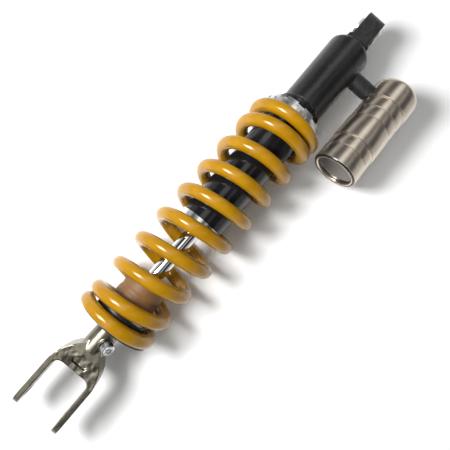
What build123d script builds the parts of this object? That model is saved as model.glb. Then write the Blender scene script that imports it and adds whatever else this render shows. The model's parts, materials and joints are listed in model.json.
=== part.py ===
from build123d import *
import os
from math import cos, pi, sin

# A rear shock absorber with a coil spring, a piggyback reservoir, a plain upper eye and a
# forked lower end. Lengths are millimetres. The origin is the centre of the upper eye.
# +X runs down the damper's axis to the fork, and a "station" is a distance along it.
# +Y runs along both mounting bolts, towards the reservoir. +Z is up with the shock lying down.

# Driving dimensions
EYE_TO_EYE = 455.0
ROD_RADIUS = 7.0
CYLINDER_BORE = 18.0
SLIDING_GAP = 0.04

# Upper eye and head casting
EYE_RADIUS = 16.0
EYE_HALF_WIDTH = 9.5
EYE_BORE = 12.0
MOUNT_BOLT_RADIUS = 5.1
SLEEVE_RADIUS = 8.6
SLEEVE_HALF_LENGTH = 12.0
HEAD_TOP = 24.0
HEAD_SHOULDER = 31.0
HEAD_TOP_RADIUS = 16.5
HEAD_SHOULDER_RADIUS = 22.0
HEAD_END = 109.0
HEAD_END_RADIUS = 20.6
HEAD_CHAMBER = 13.0
HEAD_CHAMBER_START = 40.0
SPIGOT_END = 118.0
HEAD_GROOVE_START = HEAD_END + 3

# Damper tube and its threaded stretch
THREAD_RADIUS = 22.0
THREAD_END = 172.5
TUBE_RADIUS = 21.3
TUBE_END = 253.5
SEAL_HEAD_START = 233.5
SEAL_HEAD_END = 260.5

# Bridge and reservoir
BRIDGE_STATION = 48.0
BRIDGE_RADIUS = 8.6
BRIDGE_SPIGOT_RADIUS = 6.0
OIL_PORT_RADIUS = 3.0
RESERVOIR_OFFSET = 63.8
RESERVOIR_RADIUS = 23.0
RESERVOIR_RIM_RADIUS = 22.1
RESERVOIR_BORE = 18.5
RESERVOIR_CROWN = 24.0
RESERVOIR_CROWN_FLAT = 10.0
RESERVOIR_SHOULDER = 35.0
RESERVOIR_END = 133.5
GROOVES = (53.6, 66.0, 77.5, 103.5, 115.5)
GROOVE_HALF_WIDTH = 0.9
GROOVE_DEPTH = 0.9
END_CAP_START = 117.5
CIRCLIP_START = 127.8
PORT_COVER_START = 129.4
PORT_COVER_END = 131.6
FLOATING_PISTON_START = 66.0
FLOATING_PISTON_LENGTH = 15.0

# Coil spring, its preload rings and its lower seat
SPRING_TOP = 130.6
SPRING_BOTTOM = 369.8
SPRING_RADIUS = 37.5
WIRE_RADIUS = 6.2
FIRST_WIRE_CENTRE = 367.0
OPEN_PITCH = 28.38
LOWER_PITCH = 3.45
UPPER_PITCH = 12.55
TURNS = 9.6
OPEN_FROM = -0.3
OPENING_TURNS = 2.0
CLOSED_FROM = 8.65
CLOSING_TURNS = 0.35
WASHER_THICKNESS = 1.2
COLLAR_RADIUS = 32.4
COLLAR_START = 124.9
LOCK_RING_START = 119.3
LOCK_RING_RADIUS = 29.7
LOCK_RING_LUGS = 10
COLLAR_NOTCHES = 24
SEAT_RADIUS = 34.4
SEAT_BOSS_START = 356.8
SEAT_END = 374.0

# Rod assembly
ROD_START = 196.5
PISTON_START = 208.5
PISTON_LENGTH = 14.0
SHIM_COUNT = 6
SHIM_THICKNESS = 0.4
BUMP_STOP_START = 318.0
BUMP_STOP_END = 355.3
BUMP_STOP_RADIUS = 19.2
ROD_BORE = 3.0
ROD_THREAD_RADIUS = 6.0
ROD_END = 379.4

# Clevis fork
NECK_RADIUS = 10.8
YOKE_START = 397.5
YOKE_HALF_HEIGHT = 12.0
CROTCH = 417.0
TINE_OUTSIDE = 22.9
TINE_INSIDE = 17.9
WEB_POCKET_DEPTH = 3.5

# Rebound adjuster, set into the fork's neck
ADJUSTER_STATION = 385.2
ADJUSTER_AXIS = Vector(0.12, 0.65, 0.75).normalized()
ADJUSTER_KNOB_RADIUS = 5.6
SEAL_SEAT = 8.2
KNOB_START = 11.6
KNOB_END = 17.5


def turned(*outline):
    """A solid of revolution about the damper's axis, from (station, radius) points."""
    return revolve(make_face(Polyline(*outline, close=True)), Axis.X)


def ring(start, end, outer, inner):
    """A plain tube about the damper's axis."""
    return turned((start, inner), (start, outer), (end, outer), (end, inner))


def disc(start, end, radius):
    """A plain round bar on the damper's axis."""
    return turned((start, 0), (start, radius), (end, radius), (end, 0))


def cross_bar(station, near, far, radius):
    """A round bar along Y at a station of the damper's axis, from y = near to y = far."""
    middle = Pos(station, (near + far) / 2, 0) * Rot(90, 0, 0)
    return middle * Cylinder(radius, far - near)


def at_reservoir(shape):
    """Moves a shape from the damper's axis to the reservoir's."""
    return Pos(0, RESERVOIR_OFFSET, 0) * shape


def adjuster_plane(reach):
    """The plane across the adjuster's axis, at a distance out from the neck's centre."""
    return Plane(origin=Vector(ADJUSTER_STATION, 0, 0) + ADJUSTER_AXIS * reach, z_dir=ADJUSTER_AXIS)


def on_adjuster(near, far, radius, top_radius=None):
    """A round bar or cone on the adjuster's own axis, measured out from the neck's centre."""
    base = adjuster_plane((near + far) / 2)
    if top_radius is None:
        return base * Cylinder(radius, far - near)
    return base * Cone(radius, top_radius, far - near)


def head_casting():
    eye = cross_bar(0, -EYE_HALF_WIDTH, EYE_HALF_WIDTH, EYE_RADIUS)
    lug_length = HEAD_SHOULDER + 2
    lug = Pos(lug_length / 2, 0, 0) * Box(lug_length, 2 * EYE_HALF_WIDTH, 2 * EYE_RADIUS)
    root_block = Pos(HEAD_TOP + 1, 0, 0) * Box(8, 2 * EYE_HALF_WIDTH + 5, 2 * EYE_RADIUS - 2)
    root_block = chamfer(root_block.edges().filter_by(Axis.Z).sort_by(Axis.X)[:2], 2.4)
    barrel = turned(
        (HEAD_TOP, 0),
        (HEAD_TOP, HEAD_TOP_RADIUS),
        (HEAD_SHOULDER, HEAD_SHOULDER_RADIUS),
        (HEAD_END, HEAD_END_RADIUS),
        (HEAD_END, CYLINDER_BORE - SLIDING_GAP),
        (SPIGOT_END, CYLINDER_BORE - SLIDING_GAP),
        (SPIGOT_END, 0),
    )
    barrel = fillet(barrel.edges().filter_by(GeomType.CIRCLE).group_by(Axis.X)[1], 4)
    bridge = cross_bar(BRIDGE_STATION, 12, RESERVOIR_OFFSET, BRIDGE_RADIUS)
    bridge -= at_reservoir(disc(0, 140, RESERVOIR_RADIUS))
    spigot = cross_bar(BRIDGE_STATION, 12, RESERVOIR_OFFSET - RESERVOIR_BORE, BRIDGE_SPIGOT_RADIUS)
    casting = eye + lug + root_block + barrel + bridge + spigot
    casting -= cross_bar(0, -20, 20, EYE_BORE)
    casting -= disc(HEAD_CHAMBER_START, SPIGOT_END + 1, HEAD_CHAMBER)
    casting -= cross_bar(BRIDGE_STATION, 0, RESERVOIR_OFFSET, OIL_PORT_RADIUS)
    casting -= head_o_ring()
    return casting


def head_o_ring():
    return ring(HEAD_GROOVE_START, HEAD_GROOVE_START + 3, CYLINDER_BORE, CYLINDER_BORE - 2)


def damper_tube():
    return turned(
        (HEAD_END, CYLINDER_BORE),
        (HEAD_END, THREAD_RADIUS - 1),
        (HEAD_END + 1, THREAD_RADIUS),
        (THREAD_END, THREAD_RADIUS),
        (THREAD_END + 1, TUBE_RADIUS),
        (TUBE_END, TUBE_RADIUS),
        (TUBE_END, CYLINDER_BORE),
    )


def upper_bush():
    return cross_bar(0, -8, 8, EYE_BORE) - cross_bar(0, -9, 9, SLEEVE_RADIUS + SLIDING_GAP)


def upper_eye_seals():
    ends = cross_bar(0, -EYE_HALF_WIDTH, -8, EYE_BORE) + cross_bar(0, 8, EYE_HALF_WIDTH, EYE_BORE)
    return ends - cross_bar(0, -20, 20, SLEEVE_RADIUS + SLIDING_GAP)


def upper_eye_sleeve():
    sleeve = cross_bar(0, -SLEEVE_HALF_LENGTH, SLEEVE_HALF_LENGTH, SLEEVE_RADIUS)
    sleeve = chamfer(sleeve.edges().filter_by(GeomType.CIRCLE), 0.6)
    return sleeve - cross_bar(0, -20, 20, MOUNT_BOLT_RADIUS)


def bridge_o_ring():
    middle = RESERVOIR_OFFSET - RESERVOIR_BORE - 1.6
    groove = cross_bar(BRIDGE_STATION, middle - 0.8, middle + 0.8, BRIDGE_SPIGOT_RADIUS + 1.2)
    return groove - cross_bar(BRIDGE_STATION, 0, 90, BRIDGE_SPIGOT_RADIUS)


def reservoir_outline():
    """The closed top, the grooved side and the open lower end, from the crown down."""
    points = [(RESERVOIR_CROWN, 0), (RESERVOIR_CROWN, RESERVOIR_CROWN_FLAT)]
    dome_length = RESERVOIR_SHOULDER - RESERVOIR_CROWN
    dome_width = RESERVOIR_RADIUS - RESERVOIR_CROWN_FLAT
    dome_steps = 8
    for step in range(1, dome_steps + 1):
        turn = pi / 2 * step / dome_steps
        station = RESERVOIR_SHOULDER - dome_length * cos(turn)
        points.append((station, RESERVOIR_CROWN_FLAT + dome_width * sin(turn)))
    for groove in GROOVES:
        points.append((groove - GROOVE_HALF_WIDTH, RESERVOIR_RADIUS))
        points.append((groove, RESERVOIR_RADIUS - GROOVE_DEPTH))
        points.append((groove + GROOVE_HALF_WIDTH, RESERVOIR_RADIUS))
    points.append((RESERVOIR_END - 1.5, RESERVOIR_RADIUS))
    points.append((RESERVOIR_END, RESERVOIR_RIM_RADIUS))
    points.append((RESERVOIR_END, 0))
    return points


def reservoir_body():
    body = at_reservoir(turned(*reservoir_outline()))
    body -= at_reservoir(disc(RESERVOIR_SHOULDER, RESERVOIR_END + 1, RESERVOIR_BORE))
    body -= at_reservoir(disc(CIRCLIP_START, PORT_COVER_START, RESERVOIR_BORE + 0.9))
    body -= cross_bar(BRIDGE_STATION, 0, RESERVOIR_OFFSET - 10, BRIDGE_SPIGOT_RADIUS)
    body -= bridge_o_ring()
    return body


def reservoir_end_cap():
    cap = disc(END_CAP_START, CIRCLIP_START, RESERVOIR_BORE - 0.02)
    cap += disc(CIRCLIP_START, PORT_COVER_START, RESERVOIR_BORE - 2.1)
    cap -= ring(END_CAP_START + 3, END_CAP_START + 5.5, RESERVOIR_BORE, RESERVOIR_BORE - 2)
    cap -= disc(PORT_COVER_START - 4, PORT_COVER_START + 1, 5.2)
    cap -= disc(END_CAP_START - 1, PORT_COVER_START, 2.5)
    return at_reservoir(cap)


def end_cap_o_ring():
    return at_reservoir(ring(END_CAP_START + 3, END_CAP_START + 5.5, RESERVOIR_BORE, RESERVOIR_BORE - 2))


def reservoir_circlip():
    clip = ring(CIRCLIP_START, PORT_COVER_START, RESERVOIR_BORE + 0.9, RESERVOIR_BORE - 2.0)
    gap = Pos(CIRCLIP_START + 1, RESERVOIR_BORE, 0) * Box(4, 8, 7)
    return at_reservoir(clip - gap)


def gas_fill_screw():
    stem = disc(END_CAP_START + 1, PORT_COVER_START - 4, 2.5)
    head = disc(PORT_COVER_START - 4, PORT_COVER_START - 0.6, 5.0)
    socket = Pos(PORT_COVER_START - 2.6, 0, 0) * Rot(0, 90, 0) * extrude(RegularPolygon(2.3, 6), 3)
    return at_reservoir(stem + head - socket)


def gas_port_cover():
    """Plain crowned disc that snaps in over the end cap and hides the gas fill screw."""
    cover = turned(
        (PORT_COVER_START, 0),
        (PORT_COVER_START, RESERVOIR_BORE - 0.4),
        (PORT_COVER_END - 1.2, RESERVOIR_BORE - 0.4),
        (PORT_COVER_END - 0.7, RESERVOIR_BORE - 1.0),
        (PORT_COVER_END - 0.2, RESERVOIR_BORE - 7.0),
        (PORT_COVER_END, 0),
    )
    return at_reservoir(cover)


def floating_piston():
    start = FLOATING_PISTON_START
    end = start + FLOATING_PISTON_LENGTH
    outer = RESERVOIR_BORE - SLIDING_GAP
    body = disc(start, end, outer)
    body -= disc(start + 4, end + 1, RESERVOIR_BORE - 5)
    body -= ring(start + 2.5, start + 5, outer, outer - 1.8)
    body -= ring(end - 5, end - 2, outer, outer - 1.2)
    return at_reservoir(body)


def floating_piston_o_ring():
    start = FLOATING_PISTON_START
    outer = RESERVOIR_BORE - SLIDING_GAP
    return at_reservoir(ring(start + 2.5, start + 5, outer, outer - 1.8))


def floating_piston_band():
    end = FLOATING_PISTON_START + FLOATING_PISTON_LENGTH
    outer = RESERVOIR_BORE - SLIDING_GAP
    return at_reservoir(ring(end - 5, end - 2, outer, outer - 1.2))


def seal_head():
    body = turned(
        (SEAL_HEAD_START, ROD_RADIUS + 2.5),
        (SEAL_HEAD_START, CYLINDER_BORE - 0.02),
        (TUBE_END, CYLINDER_BORE - 0.02),
        (TUBE_END, TUBE_RADIUS),
        (SEAL_HEAD_END - 1, TUBE_RADIUS),
        (SEAL_HEAD_END, TUBE_RADIUS - 1),
        (SEAL_HEAD_END, ROD_RADIUS + 2.5),
    )
    body -= ring(SEAL_HEAD_START + 9, SEAL_HEAD_START + 12, CYLINDER_BORE, CYLINDER_BORE - 2)
    return body


def seal_head_o_ring():
    return ring(SEAL_HEAD_START + 9, SEAL_HEAD_START + 12, CYLINDER_BORE - 0.02, CYLINDER_BORE - 2)


def rod_bush():
    return ring(SEAL_HEAD_START, SEAL_HEAD_START + 14, ROD_RADIUS + 2.5, ROD_RADIUS + SLIDING_GAP)


def rod_oil_seal():
    return ring(SEAL_HEAD_START + 14, SEAL_HEAD_START + 20, ROD_RADIUS + 2.5, ROD_RADIUS + SLIDING_GAP)


def rod_wiper():
    return turned(
        (SEAL_HEAD_START + 20, ROD_RADIUS + SLIDING_GAP),
        (SEAL_HEAD_START + 20, ROD_RADIUS + 2.5),
        (SEAL_HEAD_END, ROD_RADIUS + 2.5),
        (SEAL_HEAD_END + 2, ROD_RADIUS + 1.2),
        (SEAL_HEAD_END + 2, ROD_RADIUS + SLIDING_GAP),
    )


def spring_slip_washer():
    return ring(SPRING_TOP - WASHER_THICKNESS, SPRING_TOP, SPRING_RADIUS - 5.5, THREAD_RADIUS + 0.3)


def slotted_ring(start, end, radius, count, slot_width, slot_depth):
    """A threaded ring whose rim is cut by evenly spaced slots along the axis."""
    body = ring(start, end, radius, THREAD_RADIUS + 0.08)
    body = chamfer(body.edges().filter_by(GeomType.CIRCLE).sort_by(SortBy.RADIUS)[-2:], 0.5)
    slot = Pos((start + end) / 2, 0, radius) * Box(end - start + 1, slot_width, 2 * slot_depth)
    slots = [Rot(360 * index / count, 0, 0) * slot for index in range(count)]
    return body - slots


def preload_collar():
    return slotted_ring(COLLAR_START, SPRING_TOP - WASHER_THICKNESS, COLLAR_RADIUS, COLLAR_NOTCHES, 3.0, 1.6)


def preload_lock_ring():
    return slotted_ring(LOCK_RING_START, COLLAR_START, LOCK_RING_RADIUS, LOCK_RING_LUGS, 7.5, 3.2)


def eased(share):
    """Smooth step from 0 to 1."""
    share = min(max(share, 0.0), 1.0)
    return share * share * (3 - 2 * share)


def spring_pitch(turn):
    """Rise of the wire per turn, small at the lower end and one wire per turn at the upper end."""
    opening = (OPEN_PITCH - LOWER_PITCH) * eased((turn - OPEN_FROM) / OPENING_TURNS)
    closing = (OPEN_PITCH - UPPER_PITCH) * (1 - eased((CLOSED_FROM - turn) / CLOSING_TURNS))
    return LOWER_PITCH + opening - closing


def spring():
    """A right-hand coil spring with closed ends that are ground flat."""
    points_per_turn = 15
    substeps = 40
    mean_radius = SPRING_RADIUS - WIRE_RADIUS
    count = round(TURNS * points_per_turn)
    station = FIRST_WIRE_CENTRE
    points = [(station, -mean_radius, 0)]
    for index in range(count):
        for substep in range(substeps):
            turn = (index + (substep + 0.5) / substeps) / points_per_turn
            station -= spring_pitch(turn) / (points_per_turn * substeps)
        angle = pi + 2 * pi * (index + 1) / points_per_turn
        points.append((station, mean_radius * cos(angle), -mean_radius * sin(angle)))
    path = Spline(*points)
    section = Plane(origin=path @ 0, z_dir=path % 0) * Circle(WIRE_RADIUS)
    wire = sweep(section, path=path, is_frenet=True)
    between_ends = Pos((SPRING_TOP + SPRING_BOTTOM) / 2, 0, 0) * Box(SPRING_BOTTOM - SPRING_TOP, 100, 100)
    return wire & between_ends


def spring_seat():
    seat = turned(
        (SEAT_BOSS_START, ROD_RADIUS + 0.4),
        (SEAT_BOSS_START, 23.0),
        (SEAT_BOSS_START + 1, 24.0),
        (SPRING_BOTTOM, 24.3),
        (SPRING_BOTTOM, SEAT_RADIUS),
        (SPRING_BOTTOM + 1.0, SEAT_RADIUS),
        (SEAT_END - 0.6, 26.0),
        (SEAT_END, 24.0),
        (SEAT_END, ROD_RADIUS + 0.4),
    )
    slot_reach = SEAT_RADIUS + 1
    slot = Pos(SPRING_BOTTOM, 0, -slot_reach / 2) * Box(30, 2 * ROD_RADIUS + 0.8, slot_reach)
    return seat - slot


def bump_stop_washer():
    return ring(BUMP_STOP_END, SEAT_BOSS_START, BUMP_STOP_RADIUS + 1.5, ROD_RADIUS + 0.1)


def bump_stop():
    """Foam buffer with a waist and a tapered tip towards the seal head."""
    return turned(
        (BUMP_STOP_START, ROD_RADIUS + 0.1),
        (BUMP_STOP_START, BUMP_STOP_RADIUS - 5),
        (BUMP_STOP_START + 3, BUMP_STOP_RADIUS - 1),
        (BUMP_STOP_START + 7, BUMP_STOP_RADIUS),
        (BUMP_STOP_END, BUMP_STOP_RADIUS),
        (BUMP_STOP_END, ROD_RADIUS + 0.1),
    )


def piston_rod():
    rod = turned(
        (ROD_START, 0),
        (ROD_START, 4.5),
        (ROD_START + 0.5, 5),
        (PISTON_START + PISTON_LENGTH + 3, 5),
        (PISTON_START + PISTON_LENGTH + 3, ROD_RADIUS),
        (SEAT_END, ROD_RADIUS),
        (SEAT_END, ROD_THREAD_RADIUS),
        (ROD_END, ROD_THREAD_RADIUS),
        (ROD_END, 0),
    )
    rod -= disc(ROD_START - 1, ROD_START + 40, 2.0)
    rod -= disc(ROD_START + 40, ROD_END + 1, ROD_BORE)
    return rod


def piston():
    start = PISTON_START
    end = start + PISTON_LENGTH
    body = ring(start, end, CYLINDER_BORE - 0.3, 5)
    body -= ring(start + 4, end - 4, CYLINDER_BORE, CYLINDER_BORE - 1.6)
    port = Pos((start + end) / 2, 0, 11) * Rot(0, 90, 0) * Cylinder(1.8, PISTON_LENGTH + 2)
    ports = [Rot(360 * index / 6, 0, 0) * port for index in range(6)]
    return body - ports


def piston_band():
    end = PISTON_START + PISTON_LENGTH - 4
    return ring(PISTON_START + 4, end, CYLINDER_BORE - SLIDING_GAP, CYLINDER_BORE - 1.6)


def shim_stack(face, step):
    """Thin discs stacked away from one face of the piston, each smaller than the last."""
    shims = []
    for index in range(SHIM_COUNT):
        ends = sorted((face + step * index, face + step * (index + 1)))
        shims.append(ring(*ends, 14 - 1.2 * index, 5))
    return Compound(children=shims)


def compression_shims():
    """Stack of thin discs above the piston, smaller towards the nut."""
    return shim_stack(PISTON_START, -SHIM_THICKNESS)


def rebound_shims():
    """Stack of thin discs below the piston, smaller towards the rod's shoulder."""
    return shim_stack(PISTON_START + PISTON_LENGTH, SHIM_THICKNESS)


def piston_nut():
    height = 6.5
    start = PISTON_START - SHIM_COUNT * SHIM_THICKNESS - height
    hexagon = Plane(origin=(start, 0, 0), z_dir=(1, 0, 0)) * RegularPolygon(8.5, 6)
    return extrude(hexagon, height) - disc(start - 1, start + height + 1, 5)


def top_out_washer():
    """Rubber buffer that softens the end of the rebound stroke."""
    return ring(PISTON_START + PISTON_LENGTH + 3, SEAL_HEAD_START, 12, ROD_RADIUS)


def fork_plate():
    """The yoke and both tines, seen from above."""
    start = YOKE_START - 12
    tip = EYE_TO_EYE + YOKE_HALF_HEIGHT
    outer_side = [
        (start, 5.0),
        (YOKE_START - 2, 9.0),
        (YOKE_START + 3, 14.0),
        (YOKE_START + 8, 18.0),
        (YOKE_START + 15, 21.0),
        (YOKE_START + 23, TINE_OUTSIDE),
        (tip, TINE_OUTSIDE),
        (tip, TINE_INSIDE),
        (CROTCH, TINE_INSIDE),
    ]
    mirrored = [(station, -lateral) for station, lateral in reversed(outer_side)]
    plate = extrude(make_face(Polyline(*outer_side, *mirrored, close=True)), YOKE_HALF_HEIGHT, both=True)
    corners = plate.edges().filter_by(Axis.Z)
    plate = fillet([e for e in corners if abs(e.center().X - CROTCH) < 0.1], 6.5)
    corners = plate.edges().filter_by(Axis.Z)
    near_yoke = [e for e in corners if YOKE_START + 2 < e.center().X < YOKE_START + 24]
    shoulders = [e for e in near_yoke if abs(e.center().Y) > 9]
    return fillet(shoulders, 4)


def web_pocket(face_height):
    """The shallow three-sided recess in the yoke's face, between the neck and the crotch."""
    outline = Polyline((YOKE_START + 4, 0), (CROTCH - 5, -10), (CROTCH - 5, 10), close=True)
    pocket = extrude(make_face(outline), WEB_POCKET_DEPTH, both=True)
    pocket = fillet(pocket.edges().filter_by(Axis.Z), 2)
    return Pos(0, 0, face_height) * pocket


def clevis_fork():
    side_outline = Polyline(
        (YOKE_START - 12, 0, 8.0),
        (YOKE_START - 3, 0, 10.0),
        (YOKE_START + 4, 0, YOKE_HALF_HEIGHT),
        (EYE_TO_EYE, 0, YOKE_HALF_HEIGHT),
        (EYE_TO_EYE, 0, -YOKE_HALF_HEIGHT),
        (YOKE_START + 4, 0, -YOKE_HALF_HEIGHT),
        (YOKE_START - 3, 0, -10.0),
        (YOKE_START - 12, 0, -8.0),
        close=True,
    )
    side_view = extrude(make_face(side_outline), 30, both=True)
    side_view += cross_bar(EYE_TO_EYE, -30, 30, YOKE_HALF_HEIGHT)
    plate = fork_plate() & side_view
    neck = turned(
        (SEAT_END, 0),
        (SEAT_END, NECK_RADIUS - 0.5),
        (SEAT_END + 0.5, NECK_RADIUS),
        (YOKE_START, NECK_RADIUS + 0.7),
        (YOKE_START + 8, NECK_RADIUS - 3),
        (YOKE_START + 8, 0),
    )
    fork = plate + neck
    fork += on_adjuster(4, KNOB_START - 0.3, 6.4)
    fork -= web_pocket(YOKE_HALF_HEIGHT)
    fork -= web_pocket(-YOKE_HALF_HEIGHT)
    fork -= disc(SEAT_END - 1, ROD_END, ROD_THREAD_RADIUS)
    fork -= disc(ROD_END, ADJUSTER_STATION + 3, ROD_BORE)
    fork -= on_adjuster(KNOB_START - 0.3, 24, 6.6)
    fork -= on_adjuster(1, 20, 3.2)
    fork -= on_adjuster(SEAL_SEAT, 20, 4.6)
    fork -= cross_bar(EYE_TO_EYE, -40, 40, MOUNT_BOLT_RADIUS)
    return fork


def rebound_adjuster():
    """Screw with a knurled head and a hexagon socket, and a cone that lifts the metering rod."""
    knob = on_adjuster(KNOB_START, KNOB_END, ADJUSTER_KNOB_RADIUS)
    knob = chamfer(knob.edges().filter_by(GeomType.CIRCLE), 0.7)
    flutes = PolarLocations(ADJUSTER_KNOB_RADIUS + 0.35, 16)
    knob -= [adjuster_plane((KNOB_START + KNOB_END) / 2) * place * Cylinder(0.8, 8) for place in flutes]
    knob -= extrude(adjuster_plane(KNOB_END - 3.5) * RegularPolygon(2.9, 6), 5)
    stem = on_adjuster(6, SEAL_SEAT + 0.3, 3.15)
    stem += on_adjuster(SEAL_SEAT + 0.3, SEAL_SEAT + 1.7, 2.4)
    stem += on_adjuster(SEAL_SEAT + 1.7, KNOB_START, 4.4)
    point = on_adjuster(3.4, 6, 1.2, 3.15)
    return knob + stem + point


def adjuster_o_ring():
    near = SEAL_SEAT + 0.3
    return on_adjuster(near, near + 1.4, 4.55) - on_adjuster(near, near + 1.4, 2.4)


def metering_rod():
    """Rod inside the piston rod that carries the adjuster's movement to the needle."""
    return disc(ROD_START + 48, ROD_END + 1.5, ROD_BORE - 0.1)


def rebound_needle():
    return turned(
        (ROD_START + 28, 0),
        (ROD_START + 28, 0.6),
        (ROD_START + 38, 1.85),
        (ROD_START + 48, 1.85),
        (ROD_START + 48, 0),
    )


PIECES = [
    head_casting, head_o_ring, damper_tube, upper_bush, upper_eye_seals, upper_eye_sleeve,
    bridge_o_ring, reservoir_body, reservoir_end_cap, end_cap_o_ring, reservoir_circlip, gas_fill_screw,
    gas_port_cover, floating_piston, floating_piston_o_ring, floating_piston_band,
    seal_head, seal_head_o_ring, rod_bush, rod_oil_seal, rod_wiper,
    spring_slip_washer, preload_collar, preload_lock_ring, spring, spring_seat,
    bump_stop_washer, bump_stop, piston_rod, piston, piston_band, compression_shims, rebound_shims,
    piston_nut, top_out_washer, clevis_fork, rebound_adjuster, adjuster_o_ring, metering_rod,
    rebound_needle,
]

os.makedirs("parts", exist_ok=True)
for piece in PIECES:
    export_step(piece(), f"parts/{piece.__name__}.step")
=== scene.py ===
import json
from math import cos, pi, radians, sin, tau

import bmesh
import bpy
from mathutils import Matrix, Vector, noise


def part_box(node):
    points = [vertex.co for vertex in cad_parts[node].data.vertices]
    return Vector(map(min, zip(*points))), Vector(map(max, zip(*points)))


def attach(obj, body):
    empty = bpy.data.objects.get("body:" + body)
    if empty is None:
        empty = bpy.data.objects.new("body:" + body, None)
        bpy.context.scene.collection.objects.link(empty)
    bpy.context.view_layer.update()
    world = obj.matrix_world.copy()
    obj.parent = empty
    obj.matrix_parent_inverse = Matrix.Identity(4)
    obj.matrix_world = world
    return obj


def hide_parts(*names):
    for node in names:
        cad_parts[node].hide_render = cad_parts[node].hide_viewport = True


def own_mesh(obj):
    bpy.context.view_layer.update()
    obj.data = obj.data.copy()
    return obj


# The shock lies along +X from its upper eye, at the origin, to its fork. The mounting bolts and
# the side reservoir are along +Y, and +Z is up from the floor. The scene is in metres. Shapes are
# written in millimetres and scaled by MM.

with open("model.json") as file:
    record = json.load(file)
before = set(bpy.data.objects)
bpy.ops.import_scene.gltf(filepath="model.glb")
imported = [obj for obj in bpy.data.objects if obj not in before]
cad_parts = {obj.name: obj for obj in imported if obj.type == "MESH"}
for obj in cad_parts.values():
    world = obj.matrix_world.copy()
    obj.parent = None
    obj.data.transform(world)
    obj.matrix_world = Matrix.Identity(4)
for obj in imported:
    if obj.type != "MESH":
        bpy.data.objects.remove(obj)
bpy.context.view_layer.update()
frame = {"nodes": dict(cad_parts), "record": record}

MM = 0.001


def low_of(node):
    """Lowest corner of a CAD node, in millimetres."""
    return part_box(node)[0] / MM


def high_of(node):
    """Highest corner of a CAD node, in millimetres."""
    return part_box(node)[1] / MM


# ---------------------------------------------------------------- places read from the frame
SPRING_TOP = low_of("spring").x
SPRING_BOTTOM = high_of("spring").x
SPRING_RADIUS = high_of("spring").y
TUBE_START = low_of("damper_tube").x
TUBE_END = high_of("damper_tube").x
THREAD_RADIUS = high_of("damper_tube").y
STOP_START = low_of("bump_stop").x
STOP_END = high_of("bump_stop").x
STOP_RADIUS = high_of("bump_stop").y
RESERVOIR_TOP = low_of("reservoir_body").x
RESERVOIR_END = high_of("reservoir_body").x
RESERVOIR_RADIUS = high_of("reservoir_body").z
RESERVOIR_OFFSET = high_of("reservoir_body").y - RESERVOIR_RADIUS
COVER_START = low_of("gas_port_cover").x
COVER_END = high_of("gas_port_cover").x
COVER_RADIUS = high_of("gas_port_cover").z
FLOOR = -0.0375  # metres: the spring's lowest point
ON_AXIS = 0.01  # the radius of a lathe's point that lies almost on its axis


# ---------------------------------------------------------------- mesh helpers
def new_object(name, verts, faces, sharp=32):
    """A smooth-shaded mesh with crisp edges where faces meet at more than `sharp` degrees."""
    mesh = bpy.data.meshes.new(name)
    mesh.from_pydata(verts, [], faces)
    edit = bmesh.new()
    edit.from_mesh(mesh)
    bmesh.ops.recalc_face_normals(edit, faces=edit.faces)
    for edge in edit.edges:
        edge.smooth = edge.calc_face_angle(0) < radians(sharp)
    for face in edit.faces:
        face.smooth = True
    edit.to_mesh(mesh)
    edit.free()
    obj = bpy.data.objects.new(name, mesh)
    bpy.context.scene.collection.objects.link(obj)
    return obj


def rounded(outline, size, steps=3):
    """The closed outline with every corner rounded off."""
    points = []
    count = len(outline)
    for index, here in enumerate(outline):
        corner = Vector(here)
        before = Vector(outline[index - 1]) - corner
        after = Vector(outline[(index + 1) % count]) - corner
        reach = min(size, before.length * 0.45, after.length * 0.45)
        first = corner + before.normalized() * reach
        last = corner + after.normalized() * reach
        for step in range(steps + 1):
            t = step / steps
            points.append(first * (1 - t) ** 2 + corner * 2 * t * (1 - t) + last * t * t)
    return points


def lathe(name, outline, centre_y=0.0, segments=144, radius_at=None):
    """A closed solid turned about a line along X, from (station, radius) points in millimetres."""
    verts = []
    faces = []
    count = len(outline)
    for index in range(segments):
        angle = tau * index / segments
        for x, radius in outline:
            if radius_at:
                radius = radius_at(x, radius, angle)
            verts.append((x * MM, (centre_y + radius * cos(angle)) * MM, radius * sin(angle) * MM))
    for index in range(segments):
        here = index * count
        there = (index + 1) % segments * count
        for point in range(count):
            ahead = (point + 1) % count
            faces.append((here + point, here + ahead, there + ahead, there + point))
    obj = new_object(name, verts, faces)
    weld(obj)
    return obj


def weld(obj):
    """Join the points that a lathe leaves in the same place on its axis."""
    edit = bmesh.new()
    edit.from_mesh(obj.data)
    bmesh.ops.remove_doubles(edit, verts=edit.verts, dist=1e-6)
    bmesh.ops.recalc_face_normals(edit, faces=edit.faces)
    edit.to_mesh(obj.data)
    edit.free()


def remeshed(node, name, voxel, repeats, shape):
    """A copy of a CAD solid with its edges melted like a casting's and its skin made uneven."""
    obj = bpy.data.objects.new(name, frame["nodes"][node].data.copy())
    bpy.context.scene.collection.objects.link(obj)
    obj.data.materials.clear()
    remesh = obj.modifiers.new("remesh", "REMESH")
    remesh.mode = "VOXEL"
    remesh.voxel_size = voxel * MM
    smooth = obj.modifiers.new("smooth", "SMOOTH")
    smooth.factor = 0.5
    smooth.iterations = repeats
    bpy.context.view_layer.update()
    evaluated = obj.evaluated_get(bpy.context.evaluated_depsgraph_get())
    done = bpy.data.meshes.new_from_object(evaluated)
    obj.modifiers.clear()
    obj.data = done
    normals = [vertex.normal.copy() for vertex in done.vertices]
    for vertex, normal in zip(done.vertices, normals):
        vertex.co += normal * shape(vertex.co / MM, normal) * MM
    for polygon in done.polygons:
        polygon.use_smooth = True
    return obj


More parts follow.
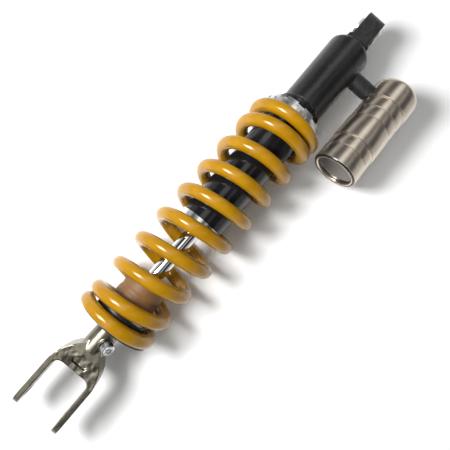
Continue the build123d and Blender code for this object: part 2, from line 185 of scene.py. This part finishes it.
# ---------------------------------------------------------------- material helpers
def fill_ramp(node, stops):
    """Give a colour ramp its (position, colour) stops."""
    elements = node.color_ramp.elements
    while len(elements) < len(stops):
        elements.new(1.0)
    for element, (position, colour) in zip(elements, stops):
        element.position = position
        element.color = (*colour, 1.0)


class Surface:
    """A Principled surface whose values come from noise in the object's own coordinates."""

    def __init__(self, name, roughness, metallic=0.0):
        self.material = bpy.data.materials.new(name)
        self.material.use_nodes = True
        self.tree = self.material.node_tree
        self.shader = self.tree.nodes["Principled BSDF"]
        self.shader.inputs["Metallic"].default_value = metallic
        self.shader.inputs["Roughness"].default_value = roughness
        self.place = self.tree.nodes.new("ShaderNodeTexCoord").outputs["Object"]
        self.height = None

    def link(self, start, end):
        self.tree.links.new(start, end)

    def mapped(self, stretch):
        mapping = self.tree.nodes.new("ShaderNodeMapping")
        mapping.inputs["Scale"].default_value = stretch
        self.link(self.place, mapping.inputs["Vector"])
        return mapping.outputs["Vector"]

    def noise(self, scale, stretch=(1, 1, 1), detail=3, distortion=0.0):
        node = self.tree.nodes.new("ShaderNodeTexNoise")
        node.inputs["Scale"].default_value = scale
        node.inputs["Detail"].default_value = detail
        node.inputs["Distortion"].default_value = distortion
        self.link(self.mapped(stretch), node.inputs["Vector"])
        return node.outputs["Fac"]

    def colour(self, factor, stops):
        node = self.tree.nodes.new("ShaderNodeValToRGB")
        fill_ramp(node, stops)
        self.link(factor, node.inputs["Fac"])
        self.link(node.outputs["Color"], self.shader.inputs["Base Color"])

    def roughness(self, factor, low, high):
        node = self.tree.nodes.new("ShaderNodeMapRange")
        node.inputs["From Min"].default_value = 0.3
        node.inputs["From Max"].default_value = 0.7
        node.inputs["To Min"].default_value = low
        node.inputs["To Max"].default_value = high
        self.link(factor, node.inputs["Value"])
        self.link(node.outputs["Result"], self.shader.inputs["Roughness"])

    def bump(self, factor, distance, strength=1.0):
        node = self.tree.nodes.new("ShaderNodeBump")
        node.inputs["Distance"].default_value = distance * MM
        node.inputs["Strength"].default_value = strength
        self.link(factor, node.inputs["Height"])
        if self.height:
            self.link(self.height, node.inputs["Normal"])
        self.height = node.outputs["Normal"]
        self.link(self.height, self.shader.inputs["Normal"])

    def coat(self, weight, roughness):
        self.shader.inputs["Coat Weight"].default_value = weight
        self.shader.inputs["Coat Roughness"].default_value = roughness


def scaled(colour, factor):
    """The colour made brighter or darker."""
    return tuple(min(1.0, value * factor) for value in colour)


def plain(name, colour, roughness, metallic=0.0, change=0.25, scale=90, grain=0.02, grain_scale=900):
    """A surface of one colour, a little uneven in tone, gloss and grain."""
    surface = Surface(name, roughness, metallic)
    surface.colour(
        surface.noise(scale),
        [(0.3, scaled(colour, 1 - change)), (0.7, scaled(colour, 1 + change))],
    )
    surface.roughness(surface.noise(scale * 2.3), roughness * 0.8, min(1.0, roughness * 1.25))
    surface.bump(surface.noise(grain_scale), grain)
    return surface


def paint_surface():
    """Thick glossy golden yellow paint with fine orange peel."""
    surface = Surface("yellow_spring_paint", 0.3)
    surface.colour(surface.noise(60), [(0.3, (0.35, 0.17, 0.001)), (0.7, (0.41, 0.205, 0.002))])
    surface.roughness(surface.noise(350), 0.16, 0.26)
    surface.bump(surface.noise(260, detail=1), 0.09)
    surface.bump(surface.noise(900, detail=2), 0.02)
    surface.coat(0.2, 0.05)
    surface.shader.inputs["Specular IOR Level"].default_value = 0.35
    return surface


def casting_surface():
    """Satin black with soft lighter streaks of painted sheen along the head, its gloss varying along them
    too.
    """
    surface = Surface("satin_black_casting", 0.3)
    # painted sheen: the colour is lighter in soft streaks along the head, standing in for soft highlights
    surface.colour(
        surface.noise(45, (0.35, 1, 1)),
        [(0.35, (0.008, 0.008, 0.009)), (0.75, (0.020, 0.020, 0.022))],
    )
    surface.roughness(surface.noise(120, (0.3, 1, 1)), 0.24, 0.34)
    surface.bump(surface.noise(900, detail=2), 0.035)
    return surface


def turned_surface(name, colour, roughness, ring_depth):
    """Bright metal turned on a lathe, with fine rings about X."""
    surface = Surface(name, roughness, 1.0)
    surface.colour(
        surface.noise(40, (5, 0.2, 0.2)),
        [(0.3, scaled(colour, 0.95)), (0.7, scaled(colour, 1.04))],
    )
    surface.roughness(surface.noise(60, (18, 0.8, 0.8)), roughness * 0.9, roughness * 1.12)
    surface.bump(surface.noise(1500, (1, 0.02, 0.02), 1), ring_depth, 0.1)
    return surface


def cast_nickel():
    """Nickel-plated cast steel with a hammered look and duller patches."""
    surface = Surface("champagne_fork", 0.25, 1.0)
    surface.colour(
        surface.noise(90, detail=4, distortion=0.4),
        [(0.3, (0.17, 0.152, 0.115)), (0.52, (0.23, 0.21, 0.165)), (0.75, (0.30, 0.28, 0.23))],
    )
    surface.roughness(surface.noise(90, detail=2), 0.22, 0.32)
    surface.bump(surface.noise(120, detail=1), 0.03, 0.3)
    return surface


def foam_surface():
    """Tan foam that lets a little light in."""
    surface = Surface("bump_stop_foam", 0.55)
    surface.colour(surface.noise(70), [(0.3, (0.16, 0.072, 0.020)), (0.7, (0.22, 0.105, 0.036))])
    surface.bump(surface.noise(800, detail=4), 0.06)
    surface.shader.inputs["Subsurface Weight"].default_value = 0.15
    surface.shader.inputs["Subsurface Radius"].default_value = (0.003, 0.0015, 0.0008)
    return surface


surfaces = {
    "satin_black_casting": casting_surface(),
    "gloss_black_tube": plain("gloss_black_tube", (0.007, 0.007, 0.009), 0.16, grain=0.01),
    "seal_rubber": plain("seal_rubber", (0.018, 0.018, 0.018), 0.6, grain=0.04),
    "bush_bronze": plain("bush_bronze", (0.45, 0.30, 0.14), 0.35, 1.0),
    "zinc_steel": turned_surface("zinc_steel", (0.80, 0.80, 0.78), 0.3, 0.01),
    "champagne_aluminium": turned_surface("champagne_aluminium", (0.66, 0.58, 0.49), 0.3, 0.001),
    "dark_aluminium": plain(
        "dark_aluminium", (0.17, 0.15, 0.14), 0.12, 1.0, change=0.1, scale=30, grain=0.003
    ),
    "spring_steel": plain("spring_steel", (0.35, 0.35, 0.34), 0.3, 1.0),
    "machined_aluminium": turned_surface("machined_aluminium", (0.70, 0.70, 0.69), 0.22, 0.02),
    "guide_band": plain("guide_band", (0.10, 0.08, 0.06), 0.5),
    "yellow_spring_paint": paint_surface(),
    "dark_steel": plain("dark_steel", (0.022, 0.022, 0.022), 0.35),
    "bump_stop_foam": foam_surface(),
    "hard_chrome": plain(
        "hard_chrome", (0.78, 0.78, 0.78), 0.06, 1.0, change=0.04, grain=0.004, grain_scale=200
    ),
    "champagne_fork": cast_nickel(),
    "bright_chrome": plain("bright_chrome", (0.76, 0.76, 0.77), 0.1, 1.0, change=0.08, grain=0.01),
}


def finish_piece(obj, body, slot, *nodes):
    """Give a piece its material, the body that it rides on and the CAD nodes that it replaces."""
    obj.data.materials.clear()
    obj.data.materials.append(surfaces[slot].material)
    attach(obj, body)
    if nodes:
        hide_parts(*nodes)


# ---------------------------------------------------------------- coil spring
WIRE_RADIUS = 6.2
FIRST_WIRE_CENTRE = 367.0
OPEN_PITCH = 28.38
LOWER_PITCH = 3.45
UPPER_PITCH = 12.55
TURNS = 9.6
OPEN_FROM = -0.3
OPENING_TURNS = 2.0
CLOSED_FROM = 8.65
CLOSING_TURNS = 0.35


def eased(share):
    """Smooth step from 0 to 1."""
    share = min(1.0, max(0.0, share))
    return share * share * (3 - 2 * share)


def spring_pitch(turn):
    """Rise of the wire per turn, small at the lower end and one wire per turn at the upper end."""
    opening = (OPEN_PITCH - LOWER_PITCH) * eased((turn - OPEN_FROM) / OPENING_TURNS)
    closing = (OPEN_PITCH - UPPER_PITCH) * (1 - eased((CLOSED_FROM - turn) / CLOSING_TURNS))
    return LOWER_PITCH + opening - closing


def make_spring():
    """The wire follows the same rise as the CAD spring, with both ends ground flat."""
    per_turn = 96
    around = 28
    mean_radius = SPRING_RADIUS - WIRE_RADIUS
    count = round(TURNS * per_turn)
    path = []
    x = FIRST_WIRE_CENTRE
    for index in range(count + 1):
        angle = pi + tau * index / per_turn
        path.append(Vector((x, mean_radius * cos(angle), -mean_radius * sin(angle))))
        x -= spring_pitch((index + 0.5) / per_turn) / per_turn
    verts = []
    faces = []
    for index, point in enumerate(path):
        ahead = path[min(index + 1, count)] - path[max(index - 1, 0)]
        outward = Vector((0, point.y, point.z)).normalized()
        outward = (outward - ahead.normalized() * outward.dot(ahead.normalized())).normalized()
        across = ahead.normalized().cross(outward)
        end_distance = min(index, count - index) / per_turn * tau * mean_radius
        radius = WIRE_RADIUS - max(0.0, 0.7 - end_distance)
        for step in range(around):
            turn = tau * step / around
            place = point + (outward * cos(turn) + across * sin(turn)) * radius
            place.x = min(SPRING_BOTTOM, max(SPRING_TOP, place.x))
            verts.append(place * MM)
    for index in range(count):
        for step in range(around):
            side = (step + 1) % around
            here = index * around
            there = here + around
            faces.append((here + step, there + step, there + side, here + side))
    faces.append(tuple(range(around)))
    faces.append(tuple(reversed(range(count * around, (count + 1) * around))))
    spring = new_object("coil_spring", verts, faces, 40)
    finish_piece(spring, "rod_assembly", "yellow_spring_paint", "spring")
    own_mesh(spring)


make_spring()


# ---------------------------------------------------------------- bump stop
def make_bump_stop():
    """Foam with one shallow waist, squeezed between the rod's washer and the seal head."""
    bore = 7.1
    outline = [
        (STOP_START, bore),
        (STOP_START, STOP_RADIUS - 6.5),
        (STOP_START + 2.2, STOP_RADIUS - 2.4),
        (STOP_START + 7, STOP_RADIUS),
        (STOP_START + 17, STOP_RADIUS),
        (STOP_START + 20, STOP_RADIUS - 0.9),
        (STOP_START + 23, STOP_RADIUS),
        (STOP_END - 1.5, STOP_RADIUS),
        (STOP_END, STOP_RADIUS - 1.5),
        (STOP_END, bore),
    ]
    stop = lathe("foam_bump_stop", rounded(outline, 2.2, 4))
    finish_piece(stop, "rod_assembly", "bump_stop_foam", "bump_stop")
    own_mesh(stop)


make_bump_stop()


# ---------------------------------------------------------------- damper tube with its thread
def make_tube():
    """The tube with a helical thread cut into its upper stretch."""
    bore = 18.0
    thread_end = 172.5
    tube_radius = 21.3
    pitch = 1.5
    depth = 0.75
    step = pitch / 6
    outline = [(TUBE_START, bore), (TUBE_START, THREAD_RADIUS - 1)]
    thread_steps = int((thread_end - TUBE_START - 1) / step)
    outline += [(TUBE_START + 1 + index * step, THREAD_RADIUS) for index in range(thread_steps + 1)]
    outline += [
        (thread_end + 1, tube_radius),
        (TUBE_END - 0.6, tube_radius),
        (TUBE_END, tube_radius - 0.6),
        (TUBE_END, bore),
    ]

    def radius_at(x, radius, angle):
        if radius < THREAD_RADIUS - 0.01:
            return radius
        phase = ((x - TUBE_START) / pitch + angle / tau) % 1.0
        run_out = min(1.0, (thread_end - x) / 3)
        return radius - depth * run_out * max(0.0, abs(2 * phase - 1) * 1.25 - 0.25)

    tube = lathe("threaded_damper_tube", outline, segments=96, radius_at=radius_at)
    finish_piece(tube, "damper_body", "gloss_black_tube", "damper_tube")


make_tube()


# ---------------------------------------------------------------- reservoir
def make_reservoir():
    """A domed cup with turned bands, some a little smaller, and crisp grooves between them."""
    outer = RESERVOIR_RADIUS
    inner = outer - 0.55
    groove = outer - 1.15
    bore = 18.5
    outline = [(RESERVOIR_TOP + 4, ON_AXIS), (RESERVOIR_TOP, ON_AXIS), (RESERVOIR_TOP, 9.5)]
    dome_end = 35.0
    dome_flat = 10.0
    dome_steps = 12
    for index in range(1, dome_steps + 1):
        turn = pi / 2 * index / dome_steps
        dome_station = dome_end - (dome_end - RESERVOIR_TOP) * cos(turn)
        outline.append((dome_station, dome_flat + (outer - dome_flat) * sin(turn)))
    grooves = [
        (53.6, outer, inner),
        (66.0, inner, inner),
        (77.5, inner, outer),
        (103.5, outer, inner),
        (115.5, inner, outer),
    ]
    for centre, before, after in grooves:  # each groove's station, and the radius on either side
        outline += [
            (centre - 1.3, before),
            (centre - 1.0, before - 0.12),
            (centre - 0.55, groove - 0.25),
            (centre + 0.2, groove - 0.25),
            (centre + 0.7, after - 0.12),
            (centre + 1.0, after),
        ]
    outline += [
        (RESERVOIR_END - 1.6, outer),
        (RESERVOIR_END - 1.3, outer - 0.35),
        (RESERVOIR_END - 0.5, outer - 0.9),
        (RESERVOIR_END, outer - 1.5),
        (RESERVOIR_END, bore + 0.9),
        (RESERVOIR_END - 0.8, bore + 0.1),
        (117.0, bore),
        (37.0, bore),
        (dome_end, bore - 3),
        (dome_end, ON_AXIS),
    ]
    body = lathe("turned_reservoir", outline, RESERVOIR_OFFSET, 192)
    finish_piece(body, "damper_body", "champagne_aluminium", "reservoir_body")
    rim = [
        (RESERVOIR_END - 1.2, outer - 0.36),
        (RESERVOIR_END - 0.45, outer - 0.82),
        (RESERVOIR_END, outer - 1.4),
        (RESERVOIR_END, bore + 1.6),
        (RESERVOIR_END - 1.2, bore + 1.2),
    ]
    ring = lathe("reservoir_rim", rounded(rim, 0.25), RESERVOIR_OFFSET, 144)
    finish_piece(ring, "damper_body", "gloss_black_tube")


make_reservoir()


def make_port_cover():
    """A crowned disc with a thin raised ring round its edge."""
    crown = 0.75
    outline = [
        (COVER_START, ON_AXIS),
        (COVER_START, COVER_RADIUS),
        (COVER_END - 1.1, COVER_RADIUS),
        (COVER_END - 0.85, COVER_RADIUS - 0.25),
        (COVER_END - 1.0, COVER_RADIUS - 1.1),
        (COVER_END - crown, COVER_RADIUS - 1.5),
    ]
    for index in range(13):
        inward = index / 12
        radius = (COVER_RADIUS - 1.6) * (1 - inward) + ON_AXIS
        outline.append((COVER_END - crown * (1 - inward) ** 2, radius))
    cover = lathe("polished_port_cover", outline, RESERVOIR_OFFSET, 144)
    finish_piece(cover, "damper_body", "dark_aluminium", "gas_port_cover")


make_port_cover()


# ---------------------------------------------------------------- castings
def head_skin(place, _normal):
    """Slight unevenness of a painted casting, in millimetres."""
    return 0.10 * (noise.noise(place * 0.22) + 0.6 * noise.noise(place * 0.8)) - 0.05


head = remeshed("head_casting", "cast_head", 0.6, 4, head_skin)
finish_piece(head, "damper_body", "satin_black_casting", "head_casting")


def fork_skin(place, normal):
    """A rough, hammered web between the neck and the crotch, in millimetres."""
    web = eased((place.x - 400) / 5) * eased((424 - place.x) / 6) * eased((abs(normal.z) - 0.5) / 0.3)
    hammered = noise.noise(place * 0.2) * 0.4 + noise.noise(place * 0.42) * 0.1
    return web * hammered + 0.03 * noise.noise(place * 0.3) - 0.02


fork = remeshed("clevis_fork", "cast_fork", 0.45, 3, fork_skin)
finish_piece(fork, "rod_assembly", "champagne_fork", "clevis_fork")


# ---------------------------------------------------------------- rebound adjuster
def make_adjuster():
    """A screw with a knurled head and a hexagon socket, from the neck outwards."""
    axis = Vector((0.12, 0.65, 0.75)).normalized()
    side = axis.cross(Vector((1, 0, 0))).normalized()
    other = axis.cross(side)
    centre = Vector((385.2, 0, 0))
    count = 144
    hexagon = 2.75

    def knurl(turn):
        return 5.45 + 0.15 * max(-1.0, min(1.0, 1.6 * cos(turn * 36)))

    def hex_radius(turn):
        sector = (turn % (tau / 6)) - tau / 12
        return hexagon * cos(tau / 12) / cos(sector)

    sections = [
        (6.2, lambda turn: 3.0),
        (8.4, lambda turn: 3.1),
        (8.45, lambda turn: 4.3),
        (11.5, lambda turn: 4.3),
        (11.7, lambda turn: 4.9),
        (12.2, knurl),
        (16.6, knurl),
        (17.2, lambda turn: 4.9),
        (17.45, lambda turn: 4.5),
        (17.45, lambda turn: hex_radius(turn) + 0.5),
        (17.2, lambda turn: hex_radius(turn)),
        (14.2, lambda turn: hex_radius(turn)),
        (13.6, lambda turn: 0.4),
    ]
    verts = []
    faces = []
    for height, radius in sections:
        for index in range(count):
            turn = tau * index / count
            outward = side * cos(turn) + other * sin(turn)
            verts.append((centre + axis * height + outward * radius(turn)) * MM)
    for row in range(len(sections) - 1):
        for index in range(count):
            ahead = (index + 1) % count
            here = row * count
            faces.append((here + index, here + ahead, here + count + ahead, here + count + index))
    faces.append(tuple(range(count)))
    faces.append(tuple(range((len(sections) - 1) * count, len(sections) * count)))
    knob = new_object("knurled_adjuster", verts, faces, 28)
    finish_piece(knob, "adjuster", "bright_chrome", "rebound_adjuster")


make_adjuster()


# ---------------------------------------------------------------- carried-over CAD nodes
slot_of = {part["node"]: part["material_slot"] for part in frame["record"]["subparts"]}
BEVELLED = {
    "preload_collar": 0.18,
    "preload_lock_ring": 0.3,
    "spring_seat": 0.3,
    "spring_slip_washer": 0.2,
    "seal_head": 0.3,
    "upper_eye_sleeve": 0.4,
}
for node, obj in frame["nodes"].items():
    for polygon in obj.data.polygons:
        polygon.use_smooth = True
    obj.data.materials.clear()
    obj.data.materials.append(surfaces[slot_of[node]].material)
    if node in BEVELLED:
        bevel = obj.modifiers.new("bevel", "BEVEL")
        bevel.width = BEVELLED[node] * MM
        bevel.segments = 2
        bevel.limit_method = "ANGLE"
        bevel.angle_limit = radians(35)
        bevel.harden_normals = True
    else:
        split = obj.modifiers.new("split", "EDGE_SPLIT")
        split.split_angle = radians(30)


# ---------------------------------------------------------------- camera, floor and lights
def make_camera():
    """A short lens close above the lower half, rolled so that the shock lies across the picture."""
    place = Vector((0.28864, 0.00696, 0.33719))
    forward = Vector((-0.13821, 0.0312, -0.98991)).normalized()
    right = Vector((-0.64249, 0.75783, 0.11359))
    right = (right - forward * right.dot(forward)).normalized()
    up = right.cross(forward)
    data = bpy.data.cameras.new("camera")
    data.sensor_width = 36.0
    data.lens = 29.673
    data.clip_start = 0.01
    camera = bpy.data.objects.new("camera", data)
    camera.matrix_world = Matrix.Translation(place) @ Matrix((right, up, -forward)).transposed().to_4x4()
    bpy.context.scene.collection.objects.link(camera)
    bpy.context.scene.camera = camera


make_camera()


def make_floor():
    reach = 4
    corners = [(-reach, -reach), (reach, -reach), (reach, reach), (-reach, reach)]
    floor = new_object("floor", [(x, y, FLOOR) for x, y in corners], [(0, 1, 2, 3)])
    surface = plain("studio_floor", (0.93, 0.93, 0.93), 0.9, change=0.01, scale=2, grain=0.0)
    surface.shader.inputs["Specular IOR Level"].default_value = 0.0
    floor.data.materials.append(surface.material)


make_floor()


def make_key_light():
    """A soft box as strong near as far, like a lamp much further away."""
    data = bpy.data.lights.new("key", "AREA")
    data.shape = "RECTANGLE"
    data.size = 0.15
    data.size_y = 0.15
    data.energy = 15.0
    data.use_nodes = True
    tree = data.node_tree
    falloff = tree.nodes.new("ShaderNodeLightFalloff")
    falloff.inputs["Strength"].default_value = 1.0
    tree.links.new(falloff.outputs["Constant"], tree.nodes["Emission"].inputs["Strength"])
    place = Vector((0.39, -0.216, 0.337))
    towards = Vector((0.2, 0.02, FLOOR)) - place
    light = bpy.data.objects.new("key", data)
    light.matrix_world = Matrix.Translation(place) @ towards.to_track_quat("-Z", "Y").to_matrix().to_4x4()
    bpy.context.scene.collection.objects.link(light)


make_key_light()


def make_world():
    """A pale studio whose panels run along the shock, so that polished metal shows streaks."""
    world = bpy.data.worlds.new("studio")
    bpy.context.scene.world = world
    world.use_nodes = True
    nodes = world.node_tree.nodes
    links = world.node_tree.links
    parts = nodes.new("ShaderNodeSeparateXYZ")
    links.new(nodes.new("ShaderNodeTexCoord").outputs["Generated"], parts.inputs["Vector"])
    turn = nodes.new("ShaderNodeMath")
    turn.operation = "ARCTAN2"
    links.new(parts.outputs["Z"], turn.inputs[0])
    links.new(parts.outputs["Y"], turn.inputs[1])
    share = nodes.new("ShaderNodeMath")
    share.operation = "DIVIDE"
    links.new(turn.outputs[0], share.inputs[0])
    share.inputs[1].default_value = pi
    ramp = nodes.new("ShaderNodeValToRGB")
    panels = [
        (0.0, 0.7),
        (0.13, 0.7),
        (0.16, 0.05),
        (0.33, 0.05),
        (0.36, 0.7),
        (0.39, 0.7),
        (0.42, 0.06),
        (0.50, 0.06),
        (0.53, 1.5),
        (0.63, 1.5),
        (0.66, 0.05),
        (0.84, 0.05),
        (0.87, 0.7),
        (1.0, 0.7),
    ]
    fill_ramp(ramp, [(position, (value, value, value * 0.99)) for position, value in panels])
    links.new(share.outputs[0], ramp.inputs["Fac"])
    background = nodes["Background"]
    links.new(ramp.outputs["Color"], background.inputs["Color"])
    background.inputs["Strength"].default_value = 0.85


make_world()
bpy.context.scene.view_settings.view_transform = "Standard"
